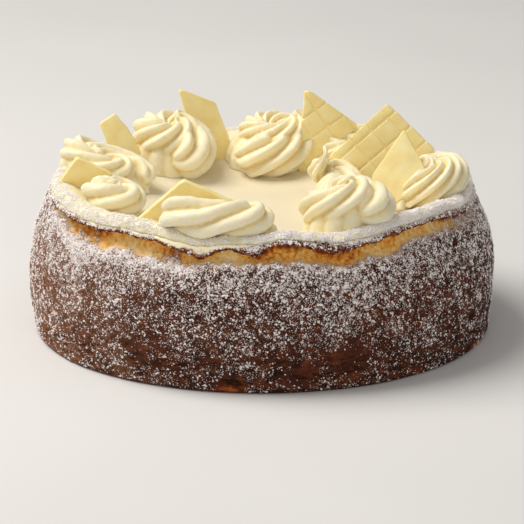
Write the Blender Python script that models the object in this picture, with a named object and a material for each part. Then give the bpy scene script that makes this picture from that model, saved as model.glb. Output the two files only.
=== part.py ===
"""A baked cheesecake: the cake, its cream top, nine piped cream swirls and seven pieces of white chocolate.

Metres, +Z up, the front towards -Y. The cake stands on z = 0 with its axis on the Z axis.
The sizes named here are millimetres, which MM turns into metres.
Angles are degrees from +X, so -90 is the front.
"""

import math

import bmesh
import bpy
from mathutils import Matrix, Vector, noise

MM = 0.001
GAP = 0.3
CREAM_GAP = 0.6
SWIRL_GAP = 0.9
SEGMENTS = 84

# The side of the cake, as (height, radius), and the heights of the plain rings of it
SIDE = (
    (0, 116.4), (5, 117.3), (15, 118.7), (30, 120.0), (42, 119.2), (52, 117.2), (60.5, 113.9),
    (66, 111.6), (74, 109.4),
)
SIDE_RINGS = (6, 15, 26, 36, 45, 52.5)
SIDE_UNEVEN, SIDE_WAVES, SIDE_WAVE_HEIGHT = 0.7, 4, 28
FOOT = ((110.0, 0.0), (115.0, 0.0))
FOOT_EDGE = 1.2

# The height of the cake's rim, of the torn lip's lower edge and of the opening under it, as (angle, height)
RIM = (
    (-165, 74.6), (-150, 73.6), (-138, 74.2), (-129, 75.4), (-120, 75.0), (-113, 73.4), (-106, 71.8),
    (-99, 73.6),
    (-92, 74.2), (-84, 76.6), (-76, 75.0), (-70, 73.2), (-61, 74.2), (-50, 76.4), (-42, 77.2), (-32, 76.6),
    (-20, 73.4), (-10, 72.2), (6, 73.4), (38, 74.4), (66, 72.8), (90, 73.4), (112, 72.8), (140, 74.4),
    (168, 73.8),
)
LIP = (
    (-165, 72.6), (-158, 72.6), (-149, 71.3), (-138, 72.2), (-129, 73.6), (-120, 72.8), (-115, 71.0),
    (-110.5, 68.8),
    (-106, 66.6), (-101.5, 70.8), (-98.5, 72.0), (-92, 68.8), (-88, 73.6), (-84, 74.8), (-80, 73.6),
    (-73, 68.8),
    (-69, 68.4), (-61, 71.2), (-53, 73.4), (-46, 75.2), (-37, 75.0), (-25, 71.4), (-14, 69.8),
    (6, 71.2), (38, 72.4),
    (66, 70.6), (90, 71.4), (112, 70.4), (140, 72.4), (168, 71.8),
)
OPENING = (
    (-168, 0.2), (-160, 3.0), (-150, 6.4), (-140, 7.6), (-128, 7.0), (-118, 7.4), (-110, 6.0),
    (-105, 1.6), (-101, 5.6),
    (-97, 6.0), (-92, 2.8), (-88, 6.8), (-84, 8.4), (-80, 7.2), (-73.5, 4.0), (-69, 5.2), (-62, 6.8),
    (-55, 7.6),
    (-46, 5.6), (-38, 5.8), (-30, 5.4), (-22, 4.2), (-14, 3.8), (-6, 0.8), (6, 3.0), (25, 6.2),
    (46, 5.8), (60, 0.8),
    (74, 5.8), (96, 6.2), (108, 1.0), (124, 6.2), (146, 6.6), (160, 3.6), (174, 0.4),
)
RIM_UNEVEN, RIM_WAVES = 0.4, 3
LIP_RADIUS = 109.6
SEAM = 1.0
WIDE_OPEN = 4.0
CRACK_DEPTH, SEAM_DEPTH = 3.6, 0.3
# Points of the outline from the shoulder to the lip, as (out, up) from the edge, the crack's back or the lip
SHOULDER = (5.0, 1.6)
LEDGE = ((-0.5, -0.2), (-0.9, 0.1))
LEDGE_SLOPE, LEDGE_OVERHANG = 0.6, 2.2
CRACK_BACK, CRACK_BACK_RISE = (0.2, -0.2), 0.25
LIP_EDGE = ((-0.8, 0.0), (0.0, 0.6))
RIM_EDGE = ((-0.2, -0.6), (-1.6, 0.5))

# The dished top of the cake, the cream on it and the bead of cream along its rim
RIM_RADIUS, RIM_RISE = 104.0, 0.7
CENTRE_HEIGHT, DISH = 56.0, 2.2
TOP_RADII = (RIM_RADIUS, 93.0, 72.0, 42.0)
CREAM_AT_EDGE, CREAM_AT_CENTRE = 2.9, 3.9
CREAM_RADIUS, CREAM_UNEVEN, CREAM_WAVES = 107.2, 0.8, 6
CREAM_RADII = (99.0, 93.0, 87.0, 68.0, 42.0)
CREAM_EDGE = ((-0.9, 0.07), (0.0, 0.41), (-0.6, 0.76), (-2.4, 1.0))
BEAD = (
    (-178, 1.2), (-150, 3.0), (-125, 2.8), (-108, 1.0), (-96, 0.2), (-72, 0.4), (-55, 1.4), (-30, 1.6),
    (20, 1.0), (90, 0.6), (150, 1.4),
)
BEAD_SHARES = ((0, 0.0), (87, 0.0), (93, 0.35), (99, 1.0), (104.8, 0.6))

# Each swirl: angle and ring radius of its middle, half sizes of the path along and across the ring, rope
# radius, rise, turns, angle of the start, ridges on the rope, their twist for each turn, and the top's lean
# along and across the ring
SWIRLS = (
    ("cream_swirl_1", -104, 91, 26.0, 9.5, 11.5, 4.0, 1.35, 190, 5, 1.3, 6, 0),
    ("cream_swirl_2", -62, 84, 16.5, 16.0, 13.0, 16.0, 1.85, -60, 5, 1.3, 6, 2),
    ("cream_swirl_3", -8, 87, 15.0, 13.0, 11.5, 11.5, 1.7, -150, 8, 1.4, 1, -6),
    ("cream_swirl_4", 53, 79, 14.0, 14.0, 9.5, 3.5, 1.7, -140, 6, 1.4, 5, 0),
    ("cream_swirl_5", 88, 72, 18.5, 15.0, 12.0, 14.5, 1.75, -140, 6, 1.6, -17, 0),
    ("cream_swirl_6", 130, 78, 16.0, 14.0, 13.5, 12.5, 1.65, -75, 5, 1.5, -9, 0),
    ("cream_swirl_7", 165, 85, 12.0, 20.5, 9.5, 5.5, 1.7, -15, 5, 1.2, 0, 0),
    ("cream_swirl_8", -160, 79, 12.0, 11.0, 9.0, 6.5, 1.5, -185, 4, 1.0, 0, 0),
    ("cream_swirl_9", -7, 37, 25.0, 10.0, 10.5, 20.0, 1.2, -110, 5, 1.2, 16, -7),
)
RIDGE_DEPTH, RIDGE_SHARPNESS = 0.38, 0.9
# How the rope closes in, thins, starts and ends, with its length as 1
CLOSING, THINNING, CLIMBING = 0.75, 0.52, 1.25
BLUNT_START, NO_POINT = 0.05, 0.004
FINE_END, END_SHAPE, END_LENGTH = 0.15, 0.8, 1.02
PEAK_START, PEAK_HEIGHT = 0.86, 2.5
ROPE_BED = 0.7
CORE_WIDTH, CORE_RISE, CORE_RINGS, CORE_AROUND = 1.12, 0.5, 8, 24
ROPE_STEPS, ROPE_AROUND = 84, 56
SWIRL_VOXEL = 0.95
SWIRL_TRIANGLES, FEWER, FEWER_STEP = 650, 120, 6

# Each piece of chocolate: the foot of it as (x, y, z), the way its face looks, how far it leans back, and its
# corners across and up from the foot. The grid is the side of the squares pressed in its face, and its turn.
PIECES = (
    (
        "chocolate_piece_1", (-91, -4, 72), -84, -18,
        ((-16, 2.5), (-4.5, 22), (14, 11), (11, -1.5), (1.5, -5), (-12, -0.5)), None,
    ),
    (
        "chocolate_piece_2", (-75, 44, 70), -88, 6,
        ((-10, 25), (-2, 30.5), (5, 22.5), (12, 9), (7, 1), (0, 0), (-6, 15)), None,
    ),
    (
        "chocolate_piece_3", (-29, 73, 67), -76, 6,
        ((-14.5, 39), (-11.5, 39), (5, 31.5), (14.5, 5), (13, -5), (-6, -4), (-10, 22)), None,
    ),
    (
        "chocolate_piece_4", (30, 62, 66), -82, 8,
        ((-7, 42), (-3, 41), (21, 23), (13, -4), (-8, -4), (-13, 3), (-8, 30)), (11.0, 33),
    ),
    (
        "chocolate_piece_5", (62, 14, 67), -96, 10,
        ((2, 46), (27, 23), (22, -2), (-19, -4), (-25, 3), (-28, 17)), (11.0, 42),
    ),
    (
        "chocolate_piece_6", (71, -30, 68), -98, 24,
        ((-1, 43.5), (10.5, 24.5), (10.5, 19.5), (0, 7.5), (-12, -2), (-16, 19)), None,
    ),
    (
        "chocolate_piece_7", (-38, -62, 70), -94, -22,
        ((-0.5, 30.5), (26, 16.5), (23, 0.5), (-13.5, -5.5), (-23.5, -1.5), (-26.5, 3)), None,
    ),
)
CHOCOLATE = 3.0
CORNER_ROUND, EDGE_ROUND = 1.3, 0.35
GROOVE_WIDTH, GROOVE_DEPTH, SECOND_GROOVE, GROOVE_REACH = 1.5, 0.6, 0.8, 70
BAR_FACES = ((0, 2, 1), (3, 4, 5), (0, 1, 4, 3), (1, 2, 5, 4), (2, 0, 3, 5))
SLOT_GROWTH = 3 * GAP
BELOW_INNER, BELOW_OUTER, BELOW_LOW = 60.0, 114.0, 20.0
CREAM_CLEAR, RIM_CLEAR = 108.6, 1.2
SHARP = 35

# The looks, as colour, roughness and metallic value
CRUST_LOOK = ((0.090, 0.032, 0.017), 0.8, 0.0)
CREAM_LOOK = ((0.90, 0.85, 0.62), 0.5, 0.0)
CHOCOLATE_LOOK = ((0.93, 0.80, 0.42), 0.45, 0.0)


def blend(t):
    t = min(1.0, max(0.0, t))
    return t * t * (3 - 2 * t)


def between(knots, x):
    """The value at x of a line through the knots."""
    for (x0, y0), (x1, y1) in zip(knots, knots[1:]):
        if x <= x1:
            return y0 + (y1 - y0) * (x - x0) / (x1 - x0)
    return knots[-1][1]


def round_the_cake(knots, degrees):
    """The value at an angle of a smooth closed line through the knots."""
    closed = [(knots[-1][0] - 360, knots[-1][1]), *knots, (knots[0][0] + 360, knots[0][1])]
    degrees = (degrees - closed[1][0]) % 360 + closed[1][0]
    for (x0, y0), (x1, y1) in zip(closed, closed[1:]):
        if x0 <= degrees <= x1:
            return y0 + (y1 - y0) * blend((degrees - x0) / (x1 - x0))
    return closed[-1][1]


def ring_noise(degrees, waves, level):
    """Noise that closes round the cake."""
    a = math.radians(degrees)
    return noise.noise(Vector((waves * math.cos(a), waves * math.sin(a), level)))


def rim_height(degrees):
    return round_the_cake(RIM, degrees) + RIM_UNEVEN * ring_noise(degrees, RIM_WAVES, 4)


def crack_at(degrees):
    """How open the crack is, from 0 to 1, and how high it opens."""
    opening = round_the_cake(OPENING, degrees)
    return blend(opening / WIDE_OPEN), SEAM + opening


def side_radius(height, degrees):
    return between(SIDE, height) + SIDE_UNEVEN * ring_noise(degrees, SIDE_WAVES, height / SIDE_WAVE_HEIGHT)


def top_height(radius, degrees):
    """The top of the baked cake, under the cream."""
    share = (min(max(radius, TOP_RADII[-1]), RIM_RADIUS) / RIM_RADIUS) ** DISH
    return CENTRE_HEIGHT + (rim_height(degrees) + RIM_RISE - CENTRE_HEIGHT) * share


def cream_height(radius, degrees):
    share = min(1.0, radius / RIM_RADIUS)
    thickness = CREAM_AT_CENTRE + (CREAM_AT_EDGE - CREAM_AT_CENTRE) * share
    bead = round_the_cake(BEAD, degrees) * between(BEAD_SHARES, radius)
    return top_height(radius, degrees) + GAP + thickness + bead


def polar(point):
    return math.hypot(point[0], point[1]), math.degrees(math.atan2(point[1], point[0]))


def new_object(name, points, faces):
    """A mesh object from points in millimetres."""
    mesh = bpy.data.meshes.new(name)
    mesh.from_pydata([Vector(p) * MM for p in points], [], faces)
    obj = bpy.data.objects.new(name, mesh)
    bpy.context.scene.collection.objects.link(obj)
    return obj


def turned(name, profile):
    """A closed solid from profile(degrees), the (radius, height) of each ring from the bottom to the top."""
    points, faces = [], []
    for i in range(SEGMENTS):
        degrees = -180 + 360 * (i + 0.5) / SEGMENTS
        a = math.radians(degrees)
        rings = profile(degrees)
        points += [(r * math.cos(a), r * math.sin(a), z) for r, z in rings]
    count = len(rings)
    bottom, top = len(points), len(points) + 1
    lowest = sum(points[i * count][2] for i in range(SEGMENTS)) / SEGMENTS
    highest = sum(points[(i + 1) * count - 1][2] for i in range(SEGMENTS)) / SEGMENTS
    points += [(0, 0, lowest), (0, 0, highest)]
    for i in range(SEGMENTS):
        this, that = i * count, (i + 1) % SEGMENTS * count
        faces.append((bottom, that, this))
        faces.append((top, this + count - 1, that + count - 1))
        for j in range(count - 1):
            faces.append((this + j, that + j, that + j + 1))
            faces.append((this + j, that + j + 1, this + j + 1))
    return new_object(name, points, faces)


def offsets(radius, height, steps):
    """Points of an outline, as steps out and up from one point."""
    return [(radius + out, height + up) for out, up in steps]


def body_profile(degrees):
    """The baked cake's outline at one angle: side, crack, lip and dished top."""
    share, opening = crack_at(degrees)
    rim, lip = rim_height(degrees), round_the_cake(LIP, degrees)
    low = lip - opening
    depth = SEAM_DEPTH + CRACK_DEPTH * share
    edge = min(side_radius(low, degrees), LIP_RADIUS + LEDGE_OVERHANG)
    heights = (FOOT_EDGE, *SIDE_RINGS, *(low - drop for drop in SHOULDER))
    side = [(side_radius(h, degrees), h) for h in heights]
    ledge = offsets(edge, low, LEDGE)
    ledge[-1] = (ledge[-1][0] - LEDGE_SLOPE * depth, ledge[-1][1])
    back = LIP_RADIUS - depth
    inside = [(back + CRACK_BACK[0], low + CRACK_BACK_RISE * opening), (back + CRACK_BACK[1], lip)]
    nose = offsets(LIP_RADIUS, lip, LIP_EDGE) + offsets(LIP_RADIUS, rim, RIM_EDGE)
    top = [(r, top_height(r, degrees)) for r in TOP_RADII]
    return [*FOOT, *side, *ledge, *inside, *nose, *top]


def cream_profile(degrees):
    """The cream's outline at one angle, from its underside over its round edge to its top."""
    edge = CREAM_RADIUS + CREAM_UNEVEN * ring_noise(degrees, CREAM_WAVES, 9)
    rim = top_height(RIM_RADIUS, degrees) + CREAM_GAP
    thickness = cream_height(edge + CREAM_EDGE[-1][0], degrees) - rim
    under = [(r, top_height(r, degrees) + CREAM_GAP) for r in reversed(TOP_RADII)]
    outer = [(edge + out, rim + share * thickness) for out, share in CREAM_EDGE]
    top = [(r, cream_height(r, degrees)) for r in CREAM_RADII]
    return under + outer + top


def rope(name, spec):
    """A star-shaped rope of cream, laid along a spiral that closes in as it rises, still to be fused."""
    _, angle, ring, along, across, thick, rise, turns, start, ridges, twist, lean_along, lean_across = spec
    a = math.radians(angle)
    radial = Vector((math.cos(a), math.sin(a), 0))
    tangent = Vector((-math.sin(a), math.cos(a), 0))
    middle = ring * radial
    points, faces = [], []
    for i in range(ROPE_STEPS + 1):
        s = i / ROPE_STEPS
        t = math.radians(start) + turns * math.tau * s
        out = Vector((math.cos(t), math.sin(t), 0))
        reach = across * radial * out.dot(radial) + along * tangent * out.dot(tangent)
        lean = lean_along * tangent + lean_across * radial
        start_size = math.sqrt(min(1.0, (s + NO_POINT) / BLUNT_START))
        end_size = min(1.0, (END_LENGTH - s) / FINE_END) ** END_SHAPE
        size = thick * (1 - THINNING * s) * start_size * end_size
        centre = middle + reach * (1 - s) ** CLOSING + lean * s * s
        peak = PEAK_HEIGHT * max(0.0, s - PEAK_START) / (1 - PEAK_START)
        centre.z = cream_height(*polar(centre)) + ROPE_BED * thick + rise * s**CLIMBING + peak
        for j in range(ROPE_AROUND):
            psi = math.tau * j / ROPE_AROUND
            ridge = abs(math.cos(ridges * (psi - twist * t) / 2)) ** RIDGE_SHARPNESS
            radius = size * (1 - RIDGE_DEPTH * (1 - ridge))
            points.append(centre + radius * (math.cos(psi) * out + math.sin(psi) * Vector((0, 0, 1))))
    for i in range(ROPE_STEPS):
        row = i * ROPE_AROUND
        for j in range(ROPE_AROUND):
            k = (j + 1) % ROPE_AROUND
            faces.append((row + j, row + ROPE_AROUND + j, row + ROPE_AROUND + k, row + k))
    faces.append(tuple(range(ROPE_AROUND)))
    faces.append(tuple(reversed(range(ROPE_STEPS * ROPE_AROUND, (ROPE_STEPS + 1) * ROPE_AROUND))))
    add_core(points, faces, middle, (tangent * along, radial * across), thick + CORE_RISE * rise)
    origin = middle + Vector((0, 0, cream_height(*polar(middle))))
    on_cream = [(x, y, max(z, cream_height(*polar((x, y))) + SWIRL_GAP)) for x, y, z in points]
    obj = new_object(name, [Vector(p) - origin for p in on_cream], faces)
    obj.location = origin * MM
    return obj


def add_core(points, faces, middle, reach, height):
    """A plain mound inside the coils, so that a swirl is solid to its middle."""
    start = len(points)
    for i in range(1, CORE_RINGS):
        slope = math.pi * i / CORE_RINGS
        for j in range(CORE_AROUND):
            t = math.tau * j / CORE_AROUND
            flat = (reach[0] * math.cos(t) + reach[1] * math.sin(t)) * CORE_WIDTH * math.sin(slope)
            place = middle + flat
            place.z = cream_height(*polar(place)) - height * math.cos(slope)
            points.append(place)
    low, high = len(points), len(points) + 1
    last = start + (CORE_RINGS - 2) * CORE_AROUND
    centre = cream_height(*polar(middle))
    points += [(middle.x, middle.y, centre - height), (middle.x, middle.y, centre + height)]
    for j in range(CORE_AROUND):
        k = (j + 1) % CORE_AROUND
        faces.append((low, start + k, start + j))
        faces.append((high, last + j, last + k))
        for row in range(start, last, CORE_AROUND):
            faces.append((row + j, row + k, row + CORE_AROUND + k, row + CORE_AROUND + j))


def applied(obj):
    """The object with its modifiers applied."""
    bpy.context.view_layer.update()
    graph = bpy.context.evaluated_depsgraph_get()
    mesh = bpy.data.meshes.new_from_object(obj.evaluated_get(graph))
    obj.modifiers.clear()
    obj.data = mesh
    return obj


def fuse(obj):
    remesh = obj.modifiers.new("fuse", "REMESH")
    remesh.mode = "VOXEL"
    remesh.voxel_size = SWIRL_VOXEL * MM
    return applied(obj)


def cut(obj, cutter):
    boolean = obj.modifiers.new("cut", "BOOLEAN")
    boolean.operation = "DIFFERENCE"
    boolean.object = cutter
    return applied(obj)


def thin(obj):
    """Fewer triangles. A count that leaves an open or doubled edge is passed over for a smaller one."""
    full = obj.data
    now = sum(len(p.vertices) - 2 for p in full.polygons)
    for count in range(SWIRL_TRIANGLES, SWIRL_TRIANGLES - FEWER, -FEWER_STEP):
        obj.data = full
        decimate = obj.modifiers.new("thin", "DECIMATE")
        decimate.ratio = min(1.0, count / now)
        applied(obj)
        if is_closed(obj.data):
            break
    return obj


def is_closed(data):
    mesh = bmesh.new()
    mesh.from_mesh(data)
    closed = all(part.is_manifold for part in (*mesh.edges, *mesh.verts))
    mesh.free()
    return closed


def largest_part(obj):
    """Drops loose crumbs that a cut leaves."""
    mesh = bmesh.new()
    mesh.from_mesh(obj.data)
    left = set(mesh.verts)
    parts = []
    while left:
        front = [left.pop()]
        part = set(front)
        while front:
            near = {e.other_vert(v) for v in front for e in v.link_edges} & left
            left -= near
            part |= near
            front = list(near)
        parts.append(part)
    keep = max(parts, key=len)
    bmesh.ops.delete(mesh, geom=[v for part in parts if part is not keep for v in part], context="VERTS")
    mesh.to_mesh(obj.data)
    mesh.free()
    return obj


def as_cutter(obj):
    obj.hide_render = True
    obj.display_type = "WIRE"
    return obj


def below_cream():
    """A solid that reaches just over the cream, to cut the undersides of the chocolate with."""

    def profile(degrees):
        outer = cream_height(RIM_RADIUS, degrees) + GAP
        top = [(r, cream_height(r, degrees) + GAP) for r in CREAM_RADII]
        rim = rim_height(degrees) + RIM_CLEAR
        side = [(BELOW_INNER, BELOW_LOW), (BELOW_OUTER, BELOW_LOW), (BELOW_OUTER, rim)]
        return [*side, (CREAM_CLEAR + GAP, rim), (CREAM_CLEAR, outer), (RIM_RADIUS, outer), *top]

    return as_cutter(turned("below_cream", profile))


def stand(obj, foot, facing, lean):
    """Stands a plate on its foot, with its own X across, its own Y up and its own Z out of its face."""
    a, b = math.radians(facing), math.radians(lean)
    ahead = Vector((math.cos(a), math.sin(a), 0))
    across = Vector((-math.sin(a), math.cos(a), 0))
    up = Vector((0, 0, 1)) * math.cos(b) - ahead * math.sin(b)
    obj.location = Vector(foot) * MM
    obj.rotation_euler = Matrix((across, up, across.cross(up))).transposed().to_euler()
    return obj


def round_off(mesh, edges, radius, steps):
    bmesh.ops.bevel(
        mesh, geom=edges, offset=radius * MM, segments=steps, profile=0.5, affect="EDGES", clamp_overlap=True
    )


def plate(name, corners, thickness, grow):
    """A flat plate with its corners and its edges rounded, made bigger all round by grow."""
    mesh = bmesh.new()
    half = thickness / 2
    middle = Vector((sum(x for x, _ in corners) / len(corners), sum(y for _, y in corners) / len(corners)))
    around = [Vector(c) + (Vector(c) - middle).normalized() * grow for c in corners]
    lower = [mesh.verts.new(Vector((p.x, p.y, -half)) * MM) for p in around]
    upper = [mesh.verts.new(Vector((p.x, p.y, half)) * MM) for p in around]
    mesh.faces.new(lower)
    mesh.faces.new(upper)
    for i in range(len(around)):
        k = (i + 1) % len(around)
        mesh.faces.new((lower[i], lower[k], upper[k], upper[i]))
    bmesh.ops.recalc_face_normals(mesh, faces=mesh.faces)
    upright = [e for e in mesh.edges if abs(e.verts[0].co.z - e.verts[1].co.z) > half * MM]
    round_off(mesh, upright, CORNER_ROUND, 2)
    level = [e for e in mesh.edges if abs(e.verts[0].co.z - e.verts[1].co.z) < EDGE_ROUND * MM]
    round_off(mesh, level, EDGE_ROUND, 1)
    data = bpy.data.meshes.new(name)
    mesh.to_mesh(data)
    mesh.free()
    obj = bpy.data.objects.new(name, data)
    bpy.context.scene.collection.objects.link(obj)
    return obj


def grooves(turn, step, depth):
    """Bars with a V section in a row, to press one way of the grid."""
    points, faces = [], []
    spin = Matrix.Rotation(math.radians(turn), 4, "Z")
    wide, top = 1.5 * GROOVE_WIDTH / 2, CHOCOLATE / 2
    section = ((0, top - depth), (wide, top + depth / 2), (-wide, top + depth / 2))
    count = int(GROOVE_REACH / step)
    for i in range(-count, count + 1):
        start = len(points)
        for side in (-GROOVE_REACH, GROOVE_REACH):
            points += [spin @ Vector((side, (i + 0.5) * step + y, z)) for y, z in section]
        faces += [tuple(start + k for k in face) for face in BAR_FACES]
    return as_cutter(new_object("grooves", points, faces))


def chocolate(spec, under):
    """A broken plate, with squares pressed in the face of some, flat on the cream."""
    name, foot, facing, lean, corners, grid = spec
    obj = plate(name, corners, CHOCOLATE, 0)
    if grid:
        side, turn = grid
        for degrees, depth in ((turn, GROOVE_DEPTH), (turn + 90, SECOND_GROOVE * GROOVE_DEPTH)):
            bars = grooves(degrees, side, depth)
            cut(obj, bars)
            bpy.data.objects.remove(bars)
    stand(obj, foot, facing, lean)
    return largest_part(cut(obj, under))


def slot_cutter(spec):
    name, foot, facing, lean, corners, _ = spec
    slot = plate("slot_of_" + name, corners, CHOCOLATE + SLOT_GROWTH, 1.5 * SLOT_GROWTH)
    return as_cutter(stand(slot, foot, facing, lean))


def swirl(spec, slots):
    """A piped swirl, flat on the cream and cut clear of the chocolate that stands in it."""
    obj = thin(largest_part(fuse(rope(spec[0], spec))))
    for slot in slots:
        cut(obj, slot)
    return largest_part(obj)


def material(name, look):
    """A plain material from colour, roughness and metallic value."""
    made = bpy.data.materials.new(name)
    made.use_nodes = True
    shader = made.node_tree.nodes["Principled BSDF"]
    colour, roughness, metallic = look
    shader.inputs["Base Color"].default_value = (*colour, 1)
    shader.inputs["Roughness"].default_value = roughness
    shader.inputs["Metallic"].default_value = metallic
    return made


def dress(obj, name, look, whole):
    """Gives an object its own material and smooth round faces, and parents it to the whole."""
    obj.data.materials.clear()
    obj.data.materials.append(material(name + "_of_" + obj.name, look))
    obj.data.shade_smooth()
    obj.data.set_sharp_from_angle(angle=math.radians(SHARP))
    obj.parent = whole


def main():
    for obj in list(bpy.data.objects):
        bpy.data.objects.remove(obj)
    whole = bpy.data.objects.new("cheesecake", None)
    bpy.context.scene.collection.objects.link(whole)
    dress(turned("cake_body", body_profile), "baked_cake", CRUST_LOOK, whole)
    dress(turned("cream_layer", cream_profile), "cream", CREAM_LOOK, whole)
    under = below_cream()
    for spec in PIECES:
        dress(chocolate(spec, under), "white_chocolate", CHOCOLATE_LOOK, whole)
    slots = [slot_cutter(spec) for spec in PIECES]
    for spec in SWIRLS:
        dress(swirl(spec, slots), "cream", CREAM_LOOK, whole)
    for cutter in (under, *slots):
        bpy.data.objects.remove(cutter)


main()
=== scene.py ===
"""The looks of a baked cheesecake: a cracked, sugared crust, a cream top, piped swirls and white chocolate.

The frame is in metres. The forms here are worked out in millimetres, from the same named sizes as the solids.
Angles are in degrees from +X, so that -90 is the front.
"""

import math

import bmesh
import bpy
import numpy as np
from mathutils import Matrix, Vector, noise


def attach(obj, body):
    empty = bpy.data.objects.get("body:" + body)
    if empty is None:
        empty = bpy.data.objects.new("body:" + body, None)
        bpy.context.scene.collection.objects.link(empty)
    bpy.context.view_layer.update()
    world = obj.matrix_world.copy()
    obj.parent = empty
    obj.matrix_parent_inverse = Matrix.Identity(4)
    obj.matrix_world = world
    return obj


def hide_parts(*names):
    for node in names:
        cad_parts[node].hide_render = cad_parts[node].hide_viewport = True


MM = 0.001
GAP = 0.3
CREAM_GAP = 0.6

# The side of the cake, as (height, radius), and the heights of the plain rings of it
SIDE = (
    (0, 116.4), (5, 117.3), (15, 118.7), (30, 120.0), (42, 119.2), (52, 117.2), (60.5, 113.9), (66, 111.6),
    (74, 109.4),
)
SIDE_RINGS = (6, 15, 26, 36, 45, 52.5)
SIDE_UNEVEN, SIDE_WAVES, SIDE_WAVE_HEIGHT = 0.7, 4, 28
FOOT = ((110.0, 0.0), (115.0, 0.0))
FOOT_EDGE = 1.2

# The height of the cake's rim, of the torn lip's lower edge and of the opening under it, as (angle, height)
RIM = (
    (-165, 74.6), (-150, 73.6), (-138, 74.2), (-129, 75.4), (-120, 75.0), (-113, 73.4), (-106, 71.8),
    (-99, 73.6), (-92, 74.2), (-84, 76.6), (-76, 75.0), (-70, 73.2), (-61, 74.2), (-50, 76.4), (-42, 77.2),
    (-32, 76.6), (-20, 73.4), (-10, 72.2), (6, 73.4), (38, 74.4), (66, 72.8), (90, 73.4), (112, 72.8),
    (140, 74.4), (168, 73.8),
)
LIP = (
    (-165, 72.6), (-158, 72.6), (-149, 71.3), (-138, 72.2), (-129, 73.6), (-120, 72.8), (-115, 71.0),
    (-110.5, 68.8), (-106, 66.6), (-101.5, 70.8), (-98.5, 72.0), (-92, 68.8), (-88, 73.6), (-84, 74.8),
    (-80, 73.6), (-73, 68.8), (-69, 68.4), (-61, 71.2), (-53, 73.4), (-46, 75.2), (-37, 75.0), (-25, 71.4),
    (-14, 69.8), (6, 71.2), (38, 72.4), (66, 70.6), (90, 71.4), (112, 70.4), (140, 72.4), (168, 71.8),
)
OPENING = (
    (-168, 0.2), (-160, 3.0), (-150, 6.4), (-140, 7.6), (-128, 7.0), (-118, 7.4), (-110, 6.0), (-105, 1.6),
    (-101, 5.6), (-97, 6.0), (-92, 2.8), (-88, 6.8), (-84, 8.4), (-80, 7.2), (-73.5, 4.0), (-69, 5.2),
    (-62, 6.8), (-55, 7.6), (-46, 5.6), (-38, 5.8), (-30, 5.4), (-22, 4.2), (-14, 3.8), (-6, 0.8), (6, 3.0),
    (25, 6.2), (46, 5.8), (60, 0.8), (74, 5.8), (96, 6.2), (108, 1.0), (124, 6.2), (146, 6.6), (160, 3.6),
    (174, 0.4),
)
# Unevenness round the cake, as (height, waves, seed)
RIM_WAVES = ((0.4, 3, 4),)
LIP_WAVES = ((1.0, 24, 1.0), (0.8, 60, 2.0))
LEDGE_WAVES = ((1.1, 9, 5.0), (1.1, 21, 6.0), (0.7, 48, 7.0))
CREAM_WAVES = ((0.8, 6, 9), (0.35, 24, 3.0))
# How much of it shows on the lip, ledge and nose, and how much where the crack is shut
RAGGED_LIP, RAGGED_LEDGE, RAGGED_NOSE = 0.7, 0.9, 0.4
SHUT_LIP, SHUT_LEDGE = 0.4, 0.3
LIP_RADIUS = 109.6
SEAM = 1.0
WIDE_OPEN = 4.0
CRACK_DEPTH, SEAM_DEPTH = 3.6, 0.3
# Points of the outline, as (out, up) from the edge, the crack's back or the lip
SHOULDER = (5.0, 1.6)
LEDGE = ((-0.5, -0.2), (-0.9, 0.1))
LEDGE_SLOPE, LEDGE_OVERHANG = 0.6, 2.2
CRACK_BACK, CRACK_BACK_RISE = (0.2, -0.2), 0.25
LIP_EDGE = ((-0.8, 0.0), (0.0, 0.6))
RIM_EDGE = ((-0.2, -0.6), (-1.6, 0.5))

# The dished top of the cake, the cream on it and the bead of cream along its rim
RIM_RADIUS, RIM_RISE = 104.0, 0.7
CENTRE_HEIGHT, DISH = 56.0, 2.2
TOP_RADII = (RIM_RADIUS, 93.0, 72.0, 42.0)
CREAM_AT_EDGE, CREAM_AT_CENTRE = 2.9, 3.9
CREAM_RADIUS = 107.2
CREAM_RADII = (99.0, 93.0, 87.0, 68.0, 42.0, 18.0, 5.0)
CREAM_EDGE = ((1.0, -0.12), (0.7, 0.30), (-0.3, 0.72), (-2.4, 1.0))
BEAD = (
    (-178, 1.2), (-150, 3.0), (-125, 2.8), (-108, 1.0), (-96, 0.2), (-72, 0.4), (-55, 1.4), (-30, 1.6),
    (20, 1.0), (90, 0.6), (150, 1.4),
)
BEAD_SHARES = ((0, 0.0), (87, 0.0), (93, 0.35), (99, 1.0), (104.8, 0.6))

# Each swirl: angle and ring radius of its middle, half sizes of the path along and across the ring, rope
# radius, rise, turns, angle of the start, ridges on the rope, their twist for each turn, and the top's lean
# along and across the ring
SWIRLS = (
    ("cream_swirl_1", -104, 91, 26.0, 9.5, 11.5, 4.0, 1.35, 190, 5, 1.3, 6, 0),
    ("cream_swirl_2", -62, 84, 16.5, 16.0, 13.0, 16.0, 1.85, -60, 5, 1.3, 6, 2),
    ("cream_swirl_3", -8, 87, 15.0, 13.0, 11.5, 11.5, 1.7, -150, 8, 1.4, 1, -6),
    ("cream_swirl_4", 53, 79, 14.0, 14.0, 9.5, 3.5, 1.7, -140, 6, 1.4, 5, 0),
    ("cream_swirl_5", 88, 72, 18.5, 15.0, 12.0, 14.5, 1.75, -140, 6, 1.6, -17, 0),
    ("cream_swirl_6", 130, 78, 16.0, 14.0, 13.5, 12.5, 1.65, -75, 5, 1.5, -9, 0),
    ("cream_swirl_7", 165, 85, 12.0, 20.5, 9.5, 5.5, 1.7, -15, 5, 1.2, 0, 0),
    ("cream_swirl_8", -160, 79, 12.0, 11.0, 9.0, 6.5, 1.5, -185, 4, 1.0, 0, 0),
    ("cream_swirl_9", -7, 37, 25.0, 10.0, 10.5, 20.0, 1.2, -110, 5, 1.2, 16, -7),
)
RIDGE_DEPTH, RIDGE_SHARPNESS = 0.42, 0.9
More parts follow.
